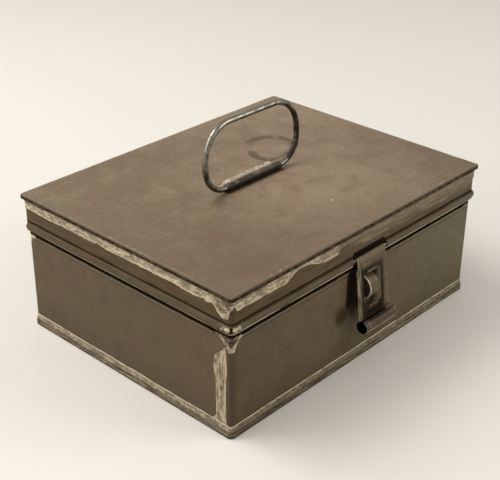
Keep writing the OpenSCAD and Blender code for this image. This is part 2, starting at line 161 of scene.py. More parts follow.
class Value:
    """A number socket that takes ordinary arithmetic and adds the Math nodes for it."""

    def __init__(self, board, socket):
        self.board = board
        self.socket = socket

    def math(self, operation, *others, clamp=False):
        values = {index + 1: other for index, other in enumerate(others)}
        node = self.board.node("ShaderNodeMath", {0: self, **values}, operation=operation, use_clamp=clamp)
        return Value(self.board, node.outputs[0])

    def __add__(self, other):
        return self.math("ADD", other)

    __radd__ = __add__

    def __sub__(self, other):
        return self.math("SUBTRACT", other)

    def __rsub__(self, other):
        return self.board.number(other).math("SUBTRACT", self)

    def __mul__(self, other):
        return self.math("MULTIPLY", other)

    __rmul__ = __mul__

    def __truediv__(self, other):
        return self.math("DIVIDE", other)

    def __abs__(self):
        return self.math("ABSOLUTE")

    def clamped(self):
        return self.math("ADD", 0.0, clamp=True)

    def least(self, other):
        return self.math("MINIMUM", other)

    def most(self, other):
        return self.math("MAXIMUM", other)

    def distance(self, other):
        """The distance from zero of a point that this and another number place."""
        return (self.math("POWER", 2.0) + other.math("POWER", 2.0)).math("SQRT")

    def ramp(self, low, high):
        """0 below low, 1 above high, smooth between; low may be the larger."""
        sockets = {"Value": self, "From Min": low, "From Max": high}
        node = self.board.node("ShaderNodeMapRange", sockets, interpolation_type="SMOOTHSTEP")
        return Value(self.board, node.outputs["Result"])

    def band(self, low, high, soft):
        """1 between low and high, with soft edges."""
        return self.ramp(low - soft, low + soft) * self.ramp(high + soft, high - soft)


class Board:
    """One node tree, with a method that makes a node from its type, settings and inputs."""

    place = None

    def __init__(self, tree):
        self.tree = tree

    def node(self, kind, sockets=None, **settings):
        made = self.tree.nodes.new(kind)
        for name, value in settings.items():
            setattr(made, name, value)
        for key, value in (sockets or {}).items():
            self.feed(made.inputs[key], value)
        return made

    def feed(self, socket, value):
        source = value.socket if isinstance(value, Value) else value
        if isinstance(source, bpy.types.NodeSocket):
            self.tree.links.new(source, socket)
        elif socket.type == "RGBA" and len(source) == 3:
            socket.default_value = (*source, 1.0)
        else:
            socket.default_value = source

    def number(self, value):
        node = self.node("ShaderNodeMath", {0: value, 1: 0.0}, operation="ADD")
        return Value(self, node.outputs[0])

    def axes(self, place):
        split = self.node("ShaderNodeSeparateXYZ", {0: place})
        return [Value(self, split.outputs[axis]) for axis in range(3)]

    def noise(self, scale, detail=3, rough=0.55, twist=0.0, stretch=None, turn=0.0, place=None):
        """Noise from 0 to 1 at a place, or at the finish's own, which may be stretched and turned about z."""
        place = place or self.place
        if stretch:
            sockets = {"Vector": place, "Scale": stretch, "Rotation": (0, 0, turn)}
            place = self.node("ShaderNodeMapping", sockets).outputs["Vector"]
        sockets = {"Vector": place, "Scale": scale, "Detail": detail, "Roughness": rough, "Distortion": twist}
        return Value(self, self.node("ShaderNodeTexNoise", sockets).outputs["Fac"])


class Finish(Board):
    """One material: its shader, the colour laid on it so far, and its place in the box's own frame."""

    def __init__(self, name, specular, roughness=0.5):
        self.material = bpy.data.materials.new(name)
        self.material.use_nodes = True
        self.material.node_tree.nodes.clear()
        super().__init__(self.material.node_tree)
        even = {"Specular IOR Level": specular, "IOR": 1.5, "Roughness": roughness}
        self.shader = self.node("ShaderNodeBsdfPrincipled", even)
        self.output = self.node("ShaderNodeOutputMaterial", {"Surface": self.shader.outputs[0]})
        self.tones = bpy.context.scene.deed_box_finish
        self.place = self.node("ShaderNodeTexCoord").outputs["Object"]
        self.base = None

    def facing(self):
        """The surface's own direction, in the box's frame."""
        return self.node("ShaderNodeTexCoord").outputs["Normal"]

    def cells(self, scale):
        """Distance to the nearest of many scattered points."""
        made = self.node("ShaderNodeTexVoronoi", {"Vector": self.place, "Scale": scale}, feature="F1")
        return Value(self, made.outputs["Distance"])

    def mixed(self, factor, *colours):
        """A mixture of two colours, each the name of one of the box's tones or a colour itself."""
        first, second = (getattr(self.tones, tone) if isinstance(tone, str) else tone for tone in colours)
        return self.node("ShaderNodeMix", {0: factor, 6: first, 7: second}, data_type="RGBA").outputs[2]

    def ground(self, factor, first, second):
        """Starts the colour as a mixture of two."""
        self.base = self.mixed(factor, first, second)

    def lay(self, mask, tone):
        """Lays a colour over the last one where the mask is 1."""
        self.base = self.mixed(mask, self.base, tone)

    def done(self, metal, rough, reliefs, dirt_and_shade=None, dirt_and_shade_tone=None):
        """The material, once its shader has its inputs: each relief is a bump's height, strength and
        distance, and a dull cover of grime and painted shade lies over the finish where its mask is 1."""
        inputs = self.shader.inputs
        self.feed(inputs["Base Color"], self.base)
        self.feed(inputs["Metallic"], metal.clamped())
        self.feed(inputs["Roughness"], rough.clamped())
        under = {}
        for height, strength, distance in reliefs:
            sockets = {"Height": height, "Strength": strength, "Distance": distance, **under}
            under = {"Normal": self.node("ShaderNodeBump", sockets).outputs["Normal"]}
        self.feed(inputs["Normal"], under["Normal"])
        if dirt_and_shade is not None:
            dull = {"Base Color": dirt_and_shade_tone or self.tones.grime_and_shade, "Roughness": 0.9, "Specular IOR Level": 0.05}
            cover = self.node("ShaderNodeBsdfPrincipled", dull).outputs[0]
            both = {0: dirt_and_shade.clamped(), 1: self.shader.outputs[0], 2: cover}
            self.feed(self.output.inputs["Surface"], self.node("ShaderNodeMixShader", both).outputs[0])
        return self.material

    def worn_edge(self, radius):
        """1 along outward edges, from the difference of a rounded normal and the flat one."""
        bevel = self.node("ShaderNodeBevel", {"Radius": radius}, samples=6)
        flat = self.node("ShaderNodeNewGeometry").outputs["Normal"]
        dot = self.node("ShaderNodeVectorMath", {0: bevel.outputs[0], 1: flat}, operation="DOT_PRODUCT")
        return Value(self, dot.outputs["Value"]).ramp(0.985, 0.86)


# Heights of the marks that run round the box, in metres
FLANGE_TOP = 0.0045
SMEAR_TOP = 0.0102
STOP_BOTTOM, STOP_TOP = 0.0722, 0.076
GAP_TOP = 0.079
LIP_LINE_TOP = 0.0793
BEAD_TOP = 0.0845
CREASE_TOP = 0.0861
SKIRT_TOP = 0.1046
# Foot of the V of solder that is drawn up round the front left corner
V_FOOT = 0.0652
# The hasp where it hangs: outer radius of its finger roll, front of its plate, painted shade round its
# opening
ROLL_R = 0.0048
PLATE_Y = -0.101
OPENING_X = (-0.0086, 0.0156)
OPENING_Z = (0.0405, 0.0745)
# Dirt and painted shade on the wall behind the hasp, and a painted shadow of the hasp to its left
DIRT_AND_SHADE_Z = (0.039, 0.073)
HASP_SHADOW_AT = (HASP_LOW.x - 0.0085, 0.042)
# Marks on the lid: two curved painted shadows of the handle's loop with centre and radius, a red patch and a
# pale dot
UPPER_LOOP_SHADOW = (0.05, 0.0312, 0.0175)
LOWER_LOOP_SHADOW = (0.0413, 0.0242, 0.0137)
RED_PATCH = (-0.092, -0.08)
PALE_DOT = (0.0103, -0.0609)
# Centre of the painted highlight on the lid, as shares of its length and depth
BRIGHT_AT = (0.6, 0.38)
# Points of a solder piece nearer than WELD are joined, and its hidden faces lie SUNK deep in what carries it
WELD = 0.000012
SUNK = 0.00005


def share(value, axis):
    """How far a point lies along the length (axis 0) or the depth (1), from the front left corner."""
    return (value - WALL_LOW[axis]) / (WALL_HIGH[axis] - WALL_LOW[axis])


def sides(x, y, low):
    """Masks of the left and the front face of a piece whose low corner is given."""
    return x.ramp(low.x + 0.004, low.x + 0.003), y.ramp(low.y + 0.004, low.y + 0.003)


def fine_marks(coat, dark, bare, bare_tone):
    """Lays small dark specks and chips in two strengths, and gives the chips' mask."""
    chips = coat.cells(260).ramp(0.13, 0.05) * coat.noise(55, 2).ramp(0.62, 0.7)
    specks = coat.cells(420).ramp(0.16, 0.06) * coat.noise(40, 2).ramp(0.54, 0.68)
    coat.lay(specks * dark, "wall_dark_and_shade")
    coat.lay(chips * bare, bare_tone)
    return chips


@cache
def wall_lacquer():
    """Brown and olive lacquer on the walls, with painted shade in the gap under the lid and round the hasp,
    and smeared with solder at the foot.
    """
    coat = Finish("wall_lacquer", 0.26)
    x, y, z = coat.axes(coat.place)
    left, front = sides(x, y, WALL_LOW)
    along = share(x, 0)
    clouds = coat.noise(17, 3, 0.5, 0.3, stretch=(1, 1, 0.6))
    grain = coat.noise(420, 2, 0.5)
    olive = (clouds.ramp(0.42, 0.62) * 0.6 + front * along.ramp(0.55, 1.0) * 0.5).clamped()
    coat.ground(olive, "wall", "wall_olive")
    # A painted gradient of light: the front face lighter toward its right end
    lighter = along.ramp(0.06, 0.34) * 0.15 + along.ramp(0.5, 1.0) * 0.1
    coat.lay(front * lighter, "wall_pale_and_highlight")
    coat.lay(coat.noise(30, 3, 0.55, 0.4).ramp(0.56, 0.72) * 0.3, "wall_dark_and_shade")
    mottle = coat.noise(85, 4, 0.65, 0.4)
    coat.lay(mottle.ramp(0.5, 0.66) * 0.22, "wall_dark_and_shade")
    coat.lay(mottle.ramp(0.46, 0.3) * 0.1, "wall_pale_and_highlight")
    coat.lay(grain.ramp(0.48, 0.66) * 0.16, "wall_dark_and_shade")
    # Painted shade: the walls darker toward their foot
    coat.lay(z.ramp(0.03, 0.009) * 0.28, "wall_dark_and_shade")
    from_x = x - LEFT_FACE
    from_y = y - FRONT_FACE
    coat.lay(from_x.ramp(0.007, 0.003) * from_y.ramp(0.0042, 0.0022) * 0.6, "wall_dark_and_shade")
    # The stop that the lid rests on: a painted highlight on top, painted shade below it, and black painted
    # shade in the gap above it
    seen = (left + front).clamped()
    # A painted highlight along the top of the stop bead, in patches
    rubbed = coat.noise(60).ramp(0.3, 0.62) * 0.34 + 0.16 + front * 0.1
    coat.lay(z.band(STOP_BOTTOM + 0.0006, STOP_BOTTOM + 0.002, 0.0006) * seen * rubbed, "wall_pale_and_highlight")
    under = z.band(STOP_BOTTOM - 0.001, STOP_BOTTOM - 0.0003, 0.0004)
    under = under * (left * 0.2 + front * 0.72).clamped()
    gap_foot = STOP_TOP - 0.0011 - front * 0.0002 + (mottle - 0.5) * 0.0016
    dark = (z.band(gap_foot, GAP_TOP, 0.0003) * seen).most(under * 0.8)
    # Dirt and painted shade beside and behind the hasp: a painted shadow to its left, painted shade in the
    # gap at its left edge and in the slot above it
    uneven = coat.noise(70, 3, 0.6) - 0.5
    beside = (x + uneven * 0.01).band(HASP_LOW.x + 0.0005, HASP_HIGH.x - 0.003, 0.004)
    dirt_and_shade = beside * (z + uneven * 0.01).band(*DIRT_AND_SHADE_Z, 0.006) * 0.84
    hasp_shadow = (x - HASP_SHADOW_AT[0]).distance(z - HASP_SHADOW_AT[1]).ramp(0.011, 0.002) * 0.62
    # Painted shade in the gap between the hasp's left edge and the wall
    strip = x.band(HASP_LOW.x - 0.0042, HASP_LOW.x + 0.01, 0.001) * z.band(0.044, 0.08, 0.005) * 0.94
    # Painted shade in the slot behind the rim's window above the hasp
    notch = x.band(HASP_LOW.x - 0.001, HASP_HIGH.x + 0.001, 0.0015) * z.band(0.08, 0.0876, 0.0008) * 0.95
    dark = dark.most(front * dirt_and_shade.most(hasp_shadow).most(strip).most(notch))
    chips = fine_marks(coat, 0.45, 0.4, "tin")
    # The solder drawn up round the corner above the seam, in a V
    seam_noise = coat.noise(240, 3, 0.6)
    wobble = (coat.noise(150, 2, 0.5) - 0.5) * 0.005
    left_line = z - (V_FOOT + wobble + from_y * 0.98)
    front_line = z - (V_FOOT + wobble + from_x * 0.95)
    arm_left = abs(left_line).ramp(0.0022, 0.0011) * left * from_y.ramp(0.0104, 0.0094)
    arm_front = abs(front_line).ramp(0.002, 0.001) * front * from_x.ramp(0.0098, 0.0088)
    arms = arm_left.most(arm_front) * seam_noise.ramp(0.24, 0.46) * z.ramp(V_FOOT - 0.0016, V_FOOT - 0.0002)
    inside = (left * left_line.ramp(0.0, 0.001)).most(front * front_line.ramp(0.0, 0.001))
    inside = inside * z.ramp(V_FOOT - 0.0002, V_FOOT + 0.0013)
    inside = inside * from_y.ramp(0.0112, 0.01) * from_x.ramp(0.0106, 0.0094)
    coat.lay(inside * (seam_noise.ramp(0.36, 0.56) * 0.7 + 0.2), "solder_dark")
    coat.lay(inside * seam_noise.ramp(0.56, 0.66) * 0.6, "solder")
    coat.lay(arms * 0.9, "solder")
    coat.lay(arms * seam_noise.ramp(0.42, 0.56) * 0.8, "solder_pale_and_highlight")
    # A pale bracket of solder at the back left corner
    from_back = y - BACK_HIGH.y
    arm = z.band(STOP_BOTTOM, STOP_BOTTOM + 0.0026, 0.0005) * from_back.ramp(-0.007, -0.0056)
    leg = z.band(STOP_BOTTOM - 0.0032, STOP_BOTTOM + 0.0018, 0.0005) * from_back.ramp(-0.003, -0.0022)
    coat.lay(arm.most(leg) * left * seam_noise.ramp(0.3, 0.46) * 0.85, "solder_pale_and_highlight")
    wander = coat.noise(190, 3, 0.6)
    smear = z.ramp(SMEAR_TOP, SMEAR_TOP - 0.0016) * wander.ramp(0.46, 0.6)
    solder = smear.most(arms).clamped()
    coat.lay(smear * 0.55, "solder_dark")
    return coat.done(
        metal=solder * 0.3 + chips * 0.4,
        rough=0.34 + clouds * 0.12 + grain * 0.05,
        reliefs=[
            (coat.noise(18, 2, 0.5), 0.3, 0.0014),
            (grain * 0.5 + wander * 0.5, 0.06, 0.0003),
            (solder - chips * 0.5, 0.5, 0.00025),
        ],
        dirt_and_shade=dark,
    )


@cache
def pan_tin():
    """The base flange: soldered tin, streaked along its length, darkened along the joint, with painted shade
    at the floor and on the front toward its left end.
    """
    coat = Finish("pan_tin", 0.5)
    x, y, z = coat.axes(coat.place)
    _, front = sides(x, y, PAN_LOW)
    along = share(x, 0)
    fine = coat.noise(520, 3, 0.6)
    streaks = coat.noise(190, 3, 0.6, 0.4, stretch=(0.35, 0.35, 6))
    broad = coat.noise(45, 3, 0.6)
    coat.ground(streaks.ramp(0.4, 0.58), "solder_dark", "solder")
    coat.lay(broad.ramp(0.5, 0.7) * 0.35, "wall_dark_and_shade")
    # Painted shade on the front face, darker toward its left end
    coat.lay(front * along.ramp(0.85, 0.15) * 0.45, "wall_dark_and_shade")
    coat.lay(fine.ramp(0.5, 0.62) * 0.35, "wall_dark_and_shade")
    outer = (abs(x) - PAN_HIGH.x).most(abs(y) - PAN_HIGH.y).ramp(-0.0016, -0.001)
    coat.lay((1.0 - outer) * 0.78, "wall")
    joint = z.ramp(FLANGE_TOP - 0.0009, FLANGE_TOP - 0.0002)
    joint = joint * (broad.ramp(0.34, 0.56) * 0.6 + 0.25)
    # Painted shade along the foot where it meets the floor
    sole = z.ramp(0.0015, 0.0008) * outer
    return coat.done(
        metal=0.35 - joint * 0.3 - sole * 0.3,
        rough=0.42 + fine * 0.18 + broad * 0.08,
        reliefs=[(streaks, 0.6, 0.0006), (fine, 0.25, 0.0002)],
        dirt_and_shade=joint.most(sole * 0.9),
    )


@cache
def lid_lacquer():
    """Rubbed taupe lacquer on the lid panel, with a painted highlight in the middle and toward the back,
    redder and darker toward the front corner.
    """
    coat = Finish("lid_lacquer", 0.45)
    x, y, z = coat.axes(coat.place)
    along, back = share(x, 0), share(y, 1)
    clouds = coat.noise(13, 3, 0.55, 0.4)
    mottle = coat.noise(48, 4, 0.62, 0.5)
    grain = coat.noise(330, 2, 0.5)
    coat.ground(clouds.ramp(0.38, 0.62), "lid", "lid_olive")
    # A painted highlight: a soft pool of reflected light round BRIGHT_AT, and painted sheen toward the back
    sheen_pool = (along - BRIGHT_AT[0]).distance((back - BRIGHT_AT[1]) * 0.8)
    sheen_pool = (sheen_pool + (clouds - 0.5) * 0.25).ramp(0.46, 0.02)
    far = (along * 0.55 + back * 0.55).clamped()
    coat.lay((sheen_pool * 0.46).most(far.ramp(0.72, 1.0) * 0.34), "lid_pale_and_sheen")
    coat.lay(mottle.ramp(0.48, 0.66) * 0.46, "lid_red")
    coat.lay(mottle.ramp(0.48, 0.3) * 0.22, "lid_pale_and_sheen")
    wiped = coat.noise(60, 3, 0.6, 0.5, stretch=(1.0, 4.5, 1.0), turn=0.42)
    coat.lay(wiped.ramp(0.54, 0.68) * 0.14, "lid_pale_and_sheen")
    coat.lay(wiped.ramp(0.44, 0.32) * 0.14, "wall")
    # Painted shade toward the lid's right front, where the painted sheen falls off
    coat.lay(along.ramp(0.66, 1.0) * back.ramp(0.6, 0.1) * 0.36, "wall")
    coat.lay(grain.ramp(0.5, 0.68) * 0.14, "wall")
    coat.lay(grain.ramp(0.48, 0.3) * 0.12, "lid_pale_and_sheen")
    corner = far.ramp(0.55, 0.05)
    patch = ((x - RED_PATCH[0]) * math.sqrt(0.35)).distance(y - RED_PATCH[1])
    patch = (patch + (coat.noise(30, 3, 0.6, 0.6) - 0.5) * 0.02).ramp(0.02, 0.006)
    coat.lay((corner * 0.3 + patch * 0.35).clamped(), "lid_red")
    coat.lay(corner * 0.1, "wall_dark_and_shade")
    # Two curved painted shadows of the handle's loop, behind the handle
    upper, lower = (
        abs((x - at_x).distance(y - at_y) - radius) for at_x, at_y, radius in (UPPER_LOOP_SHADOW, LOWER_LOOP_SHADOW)
    )
    upper = upper.ramp(0.0044, 0.0024) * (x * 0.35 + y * 0.94).ramp(0.02, 0.045) * x.ramp(0.036, 0.046)
    lower = lower.ramp(0.0042, 0.0022) * (x * 0.735 + y * 0.678).ramp(0.05, 0.0465) * y.ramp(0.0095, 0.0135)
    upper_face = z.ramp(PANEL_HIGH.z - 0.0004, PANEL_HIGH.z - 0.0001)
    loop_shadows = upper.most(lower) * coat.noise(90, 2).ramp(0.24, 0.5) * upper_face
    coat.lay(loop_shadows * 0.86, "wall")
    chips = fine_marks(coat, 0.4, 0.55, "solder_pale_and_highlight")
    dot = (x - PALE_DOT[0]).distance(y - PALE_DOT[1])
    coat.lay(dot.ramp(0.0011, 0.0006) * upper_face, "solder_pale_and_highlight")
    # The panel's edge: bright along the fold, with grime and painted shade along its very edge, on the skirt
    # and under it
    inset = (PANEL_HIGH.x - abs(x)).least(PANEL_HIGH.y - abs(y))
    frayed = coat.noise(240, 3, 0.6)
    edge = inset.band(0.001, 0.0024, 0.0007) * z.ramp(SKIRT_TOP, SKIRT_TOP + 0.0004)
    edge = edge * frayed.ramp(0.44, 0.62)
    coat.lay(edge * mottle.ramp(0.4, 0.62) * 0.55, "tin")
    skirt = z.ramp(SKIRT_TOP + 0.0003, SKIRT_TOP - 0.0003)
    coat.lay(skirt * 0.85, "rim")
    coat.lay(skirt * frayed.ramp(0.44, 0.62) * 0.45, "solder_dark")
    verge = inset.ramp(0.0009, 0.0002) * 0.55
    line = (skirt * (0.6 + frayed.ramp(0.4, 0.6) * 0.25)).most(verge)
    line = line.most(z.ramp(PANEL_LOW.z + 0.0004, PANEL_LOW.z + 0.0001))
    # A painted shadow on the lid under the front of the handle's clip
    clip_shadow = y.band(-0.004, 0.001, 0.0009) * x.band(CLIP_LOW.x - 0.001, CLIP_HIGH.x + 0.002, 0.0015)
    line = line.most(clip_shadow * upper_face * 0.8)
    return coat.done(
        metal=chips * 0.3 + edge * 0.2,
        rough=0.22 + clouds * 0.1 + grain * 0.05 + mottle * 0.06 + skirt * 0.3,
        reliefs=[
            (coat.noise(15, 2, 0.5), 0.28, 0.0016),
            (mottle * 0.5 + grain * 0.5, 0.06, 0.0003),
            (1.0 - chips * 0.7, 0.4, 0.0002),
        ],
        dirt_and_shade=line,
        dirt_and_shade_tone=coat.mixed(frayed.ramp(0.35, 0.6), "wall_dark_and_shade", "grime_and_shade"),
    )


@cache
def rim_lacquer():
    """Dark lacquer on the rim strips, with creases darkened by grime and painted shade, a painted highlight
    on the bead and a bright worn lower edge.
    """
    coat = Finish("rim_lacquer", 0.18)
    x, y, z = coat.axes(coat.place)
    left, front = sides(x, y, RIM_LOW)
    along = share(x, 0)
    clouds = coat.noise(26, 3, 0.6, 0.4)
    grain = coat.noise(420, 2, 0.5)
    coat.ground((clouds.ramp(0.46, 0.66) * 0.35 + front * 0.2).clamped(), "rim", "wall_olive")
    coat.lay(left * 0.12, "wall_dark_and_shade")
    drawn = coat.noise(150, 4, 0.68, 0.4, stretch=(0.3, 0.3, 4))
    coat.lay(drawn.ramp(0.48, 0.62) * 0.62, "wall_dark_and_shade")
    coat.lay(drawn.ramp(0.44, 0.32) * 0.26, "wall_pale_and_highlight")
    wisps = coat.noise(210, 3, 0.6, 0.6, stretch=(0.22, 0.22, 3.2))
    right_half = front * along.ramp(0.38, 0.5)
    coat.lay(right_half * z.ramp(0.089, 0.096) * 0.55, "wall_pale_and_highlight")
    coat.lay(right_half * wisps.ramp(0.52, 0.64) * z.band(0.09, 0.102, 0.0015) * 0.6, "solder")
    # A painted highlight along the upper half of the bead
    lit = z.band(BEAD_TOP - 0.0027, BEAD_TOP - 0.0007, 0.0011) * (0.22 + front * 0.18)
    coat.lay(lit * clouds.ramp(0.25, 0.6), "wall_pale_and_highlight")
    # Grime and painted shade in the crease above the bead and the groove below it
    crease = z.band(BEAD_TOP + 0.0003, CREASE_TOP, 0.0006)
    groove = z.band(LIP_LINE_TOP + 0.0003, LIP_LINE_TOP + 0.0011, 0.0003)
    worn = coat.noise(42).ramp(0.26, 0.52)
    lip = z.ramp(LIP_LINE_TOP, LIP_LINE_TOP - 0.0004) * worn * (0.5 + front * 0.5)
    coat.lay(lip, "tin")
    chips = fine_marks(coat, 0.5, 0.5, "tin")
    # The bead's mitred ends at the front left corner: a slit of painted shade between two spots of solder
    from_x = x - RIM_LOW.x
    from_y = y - RIM_LOW.y
    turn = (from_x + from_y).ramp(0.0052, 0.004)
    slit = turn * abs(from_x - from_y).ramp(0.0017, 0.0008) * z.ramp(0.0885, 0.0865)
    spots = (from_x + from_y).ramp(0.01, 0.008) * z.band(0.0795, 0.0836, 0.0006)
    spots = spots * coat.noise(320).ramp(0.4, 0.56) * (1.0 - slit)
    coat.lay(spots * 0.9, "solder_pale_and_highlight")
    # Painted shade in the slot above the hasp
    slot = front * x.band(HASP_LOW.x - 0.0012, HASP_HIGH.x + 0.0004, 0.0004)
    slot = slot * z.band(BEAD_TOP + 0.0005, BEAD_TOP + 0.0037, 0.0003)
    crease = crease * (0.72 + front * 0.2 + drawn.ramp(0.4, 0.6) * 0.2)
    darkened = crease.most(groove * (0.8 + front * 0.15)).most(slit).most(slot)
    return coat.done(
        metal=lip * 0.5 + chips * 0.4 + spots * 0.4,
        rough=0.32 + clouds * 0.12 + grain * 0.06,
        reliefs=[
            (coat.noise(24, 2), 0.35, 0.0012),
            (drawn * 0.7 + grain * 0.3, 0.1, 0.0004),
            (spots + wisps * right_half * 0.6, 0.5, 0.0004),
        ],
        dirt_and_shade=darkened,
    )


@cache
def soft_solder():
    """Dull smeared solder: creamy body, a painted highlight just above the free edge with painted shade along
    it, brown streaks, dark pits.
    """
    coat = Finish("soft_solder", 0.5)
    x, y, z = coat.axes(coat.place)
    rise = Value(coat, coat.node("ShaderNodeAttribute", attribute_name="rise").outputs["Fac"])
    left, front = sides(x, y, RIM_LOW)
    along = share(x, 0)
    lid_run = z.band(0.082, PANEL_HIGH.z - 0.0008, 0.0005)
    seam = z.band(SMEAR_TOP, 0.08, 0.0007)
    lumps = coat.noise(260, 4, 0.66, 0.6, stretch=(0.7, 0.7, 1.4))
    fine = coat.noise(620, 3, 0.6)
    drawn = coat.noise(330, 4, 0.68, 0.8, stretch=(0.55, 0.55, 2.0))
    upright = coat.noise(300, 4, 0.66, 0.4, stretch=(2.6, 2.6, 0.34))
    stain = coat.noise(44, 3, 0.6, 0.5)
    coat.ground(lumps.ramp(0.42, 0.6) * (0.95 - seam * 0.6), "solder", "solder_pale_and_highlight")
    coat.lay(seam * upright.ramp(0.48, 0.38) * 0.7, "solder_pale_and_highlight")
    streak = drawn.ramp(0.53, 0.62) * (1.0 - seam) + upright.ramp(0.5, 0.6) * seam
    coat.lay(streak * 0.8, "solder_dark")
    coat.lay(stain.ramp(0.54, 0.7) * 0.4, "solder_dark")
    coat.lay(lid_run * rise.ramp(0.5, 0.74) * 0.22, "solder_dark")
    # Painted shade at the top of the lid run, under the lid's lip
    coat.lay(lid_run * rise.ramp(0.86, 0.96) * 0.75, "grime_and_shade")
    tan = lid_run * (y - RIM_LOW.y).ramp(0.018, 0.0125) * x.ramp(RIM_LOW.x + 0.0062, RIM_LOW.x + 0.0048)
    blotch = coat.noise(170, 4, 0.65, 0.8)
    coat.lay(tan * (0.16 + blotch.ramp(0.48, 0.57) * 0.7), "rust")
    coat.lay(tan * blotch.ramp(0.44, 0.34) * 0.6, "lid_pale_and_sheen")
    plain = lid_run * front * along.ramp(0.375, 0.39)
    hook = lid_run * front * along.band(0.3, 0.385, 0.03)
    coat.lay(hook * 0.3, "solder_dark")
    coat.lay(plain * 0.8, "rim")
    away = lid_run * (1.0 - (left + front).clamped())
    coat.lay(away * 0.5, "wall")
    foot = z.ramp(0.01, 0.0092)
    # The base run laid toward olive, more on the front face as painted shade
    coat.lay(foot * (0.3 + front * 0.34), "wall_olive")
    coat.lay(foot * rise.ramp(0.7, 0.95) * 0.45, "solder_dark")
    # A painted highlight just above the free edge, and painted shade along the free edge itself
    bright = rise.ramp(0.26, 0.12) * rise.ramp(0.005, 0.05) * coat.noise(120, 2).ramp(0.3, 0.52)
    coat.lay(bright * (0.85 - plain * 0.5), "solder_pale_and_highlight")
    coat.lay(rise.ramp(0.05, 0.0) * 0.75, "grime_and_shade")
    on_lid = z.ramp(PANEL_HIGH.z - 0.0004, PANEL_HIGH.z + 0.0002)
    coat.lay(on_lid * 0.55, "solder_pale_and_highlight")
    pits = coat.cells(430).ramp(0.26, 0.12) * fine.ramp(0.46, 0.56)
    coat.lay(pits * 0.8, "solder_dark")
    return coat.done(
        metal=0.35 - plain * 0.3 - pits * 0.2 - streak * 0.1 - tan * 0.2,
        rough=0.4 + fine * 0.16 + stain * 0.1,
        reliefs=[
            (lumps, 0.65, 0.0008),
            (streak * -0.6 + fine * 0.4, 0.35, 0.0004),
            (1.0 - pits, 0.4, 0.0002),
        ],
    )


@cache
def bare_wire():
    """Iron wire, light on top and darkened below as painted shade, with dark oxide in patches."""
    coat = Finish("bare_wire", 0.5)
    x, _, z = coat.axes(coat.place)
    oxide = coat.noise(120, 4, 0.62, 0.6)
    fine = coat.noise(900, 3, 0.6)
    # Painted shade: the wire darker on faces that point down, toward its lower part and on its right bend
    lower_part = z.ramp(0.128, 0.108)
    _, _, facing_up = coat.axes(coat.facing())
    under = facing_up.ramp(0.45, -0.25)
    right_bend = x.ramp(0.02, 0.038) * 0.3
    dark = (oxide.ramp(0.46, 0.58) * 0.5 + lower_part * 0.28 + under * 0.62 + right_bend).clamped()
    coat.ground(dark, "wire", "wire_oxide_and_shade")
    rust = coat.noise(210, 3, 0.6).ramp(0.6, 0.72)
    coat.lay(rust * 0.35, "rust")
    pits = coat.cells(380).ramp(0.2, 0.08) * fine.ramp(0.5, 0.62)
    coat.lay(pits * 0.7, "wire_oxide_and_shade")
    return coat.done(
        metal=0.95 - dark * 0.25 - rust * 0.3,
        rough=0.24 + dark * 0.14 + fine * 0.14,
        reliefs=[(oxide, 0.3, 0.0004), (fine, 0.15, 0.0001)],
    )


@cache
def clip_tin():
    """The handle's clip: black on the roll, a painted highlight in patches along its top, and a pale worn
    foot.
    """
    coat = Finish("clip_tin", 0.2)
    x, y, z = coat.axes(coat.place)
    patches = coat.noise(150, 4, 0.62, 0.5)
    fine = coat.noise(620, 3, 0.6)
    coat.ground(patches.ramp(0.42, 0.66) * 0.5, "grime_and_shade", "wall_dark_and_shade")
    # A painted highlight along the top of the roll, in patches
    top = z.ramp(CLIP_HIGH.z - 0.003, CLIP_HIGH.z - 0.0014) * y.ramp(-0.0028, -0.0014)
    rubbed = patches.ramp(0.42, 0.56) * (0.45 + x.ramp(0.01, -0.01) * 0.55)
    coat.lay(top * (0.25 + rubbed * 0.7), "solder")
    foot = z.ramp(CLIP_LOW.z + 0.0016, CLIP_LOW.z + 0.001) * y.ramp(0.0012, 0.0024)
    coat.lay(foot * (0.7 + patches.ramp(0.36, 0.56) * 0.3), "solder_pale_and_highlight")
    holes = coat.cells(300).ramp(0.2, 0.1) * foot
    coat.lay(holes * 0.8, "solder_dark")
    return coat.done(
        metal=top * 0.4 + foot * 0.1,
        rough=0.3 + fine * 0.16 + foot * 0.2,
        reliefs=[(patches, 0.35, 0.0004), (fine, 0.2, 0.0001)],
    )


